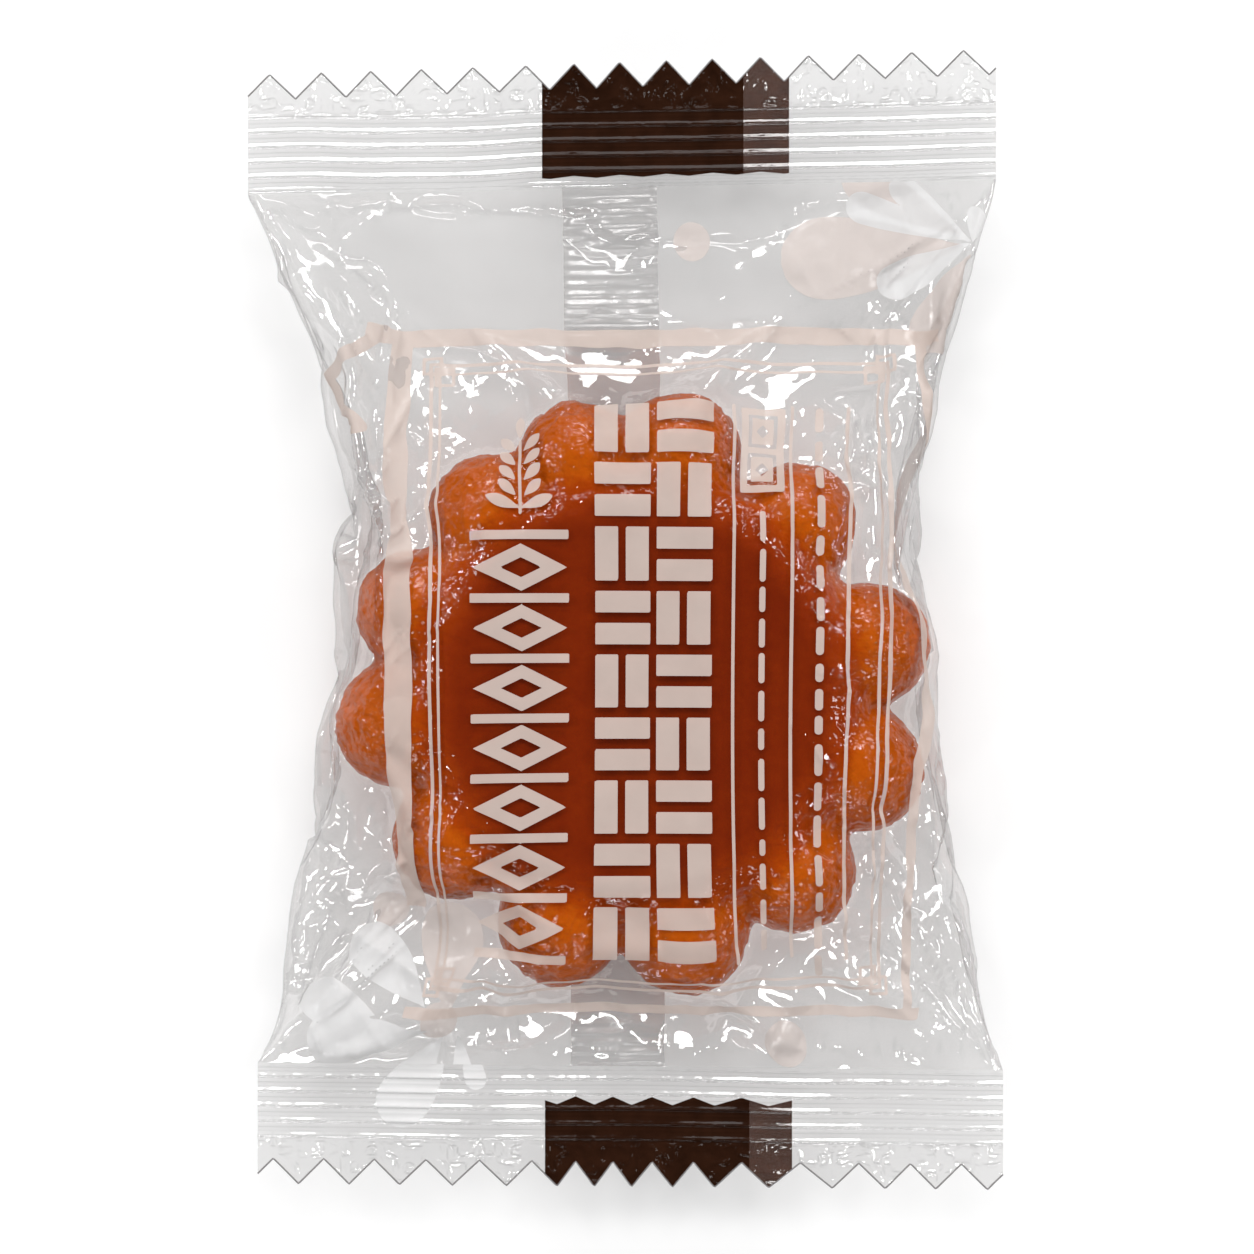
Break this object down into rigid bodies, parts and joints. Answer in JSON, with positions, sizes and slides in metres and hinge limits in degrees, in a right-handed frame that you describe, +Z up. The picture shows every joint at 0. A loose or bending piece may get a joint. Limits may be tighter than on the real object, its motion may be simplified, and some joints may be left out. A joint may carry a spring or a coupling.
{
  "type": "wrapped honey cookie",
  "caption": "Flower-shaped fried honey cookie with rounded lobes, sealed in a clear flow-wrap film pack with crimped zigzag ends and printed frame lines.",
  "frame": {"origin": "on the table, under the middle of the pack's bounding box", "axes": "+Y along the pack from the bottom seal to the top seal, +X across it to the viewer's right, +Z up out of the printed front"},
  "size_m": [0.063, 0.0948, 0.0132],
  "materials": {
    "wrapped_cookie": "glossy clear film over an amber-brown cookie"
  },
  "bodies": {
    "root": {"sealed_pack": "wrapped_cookie"}
  },
  "joints": []
}
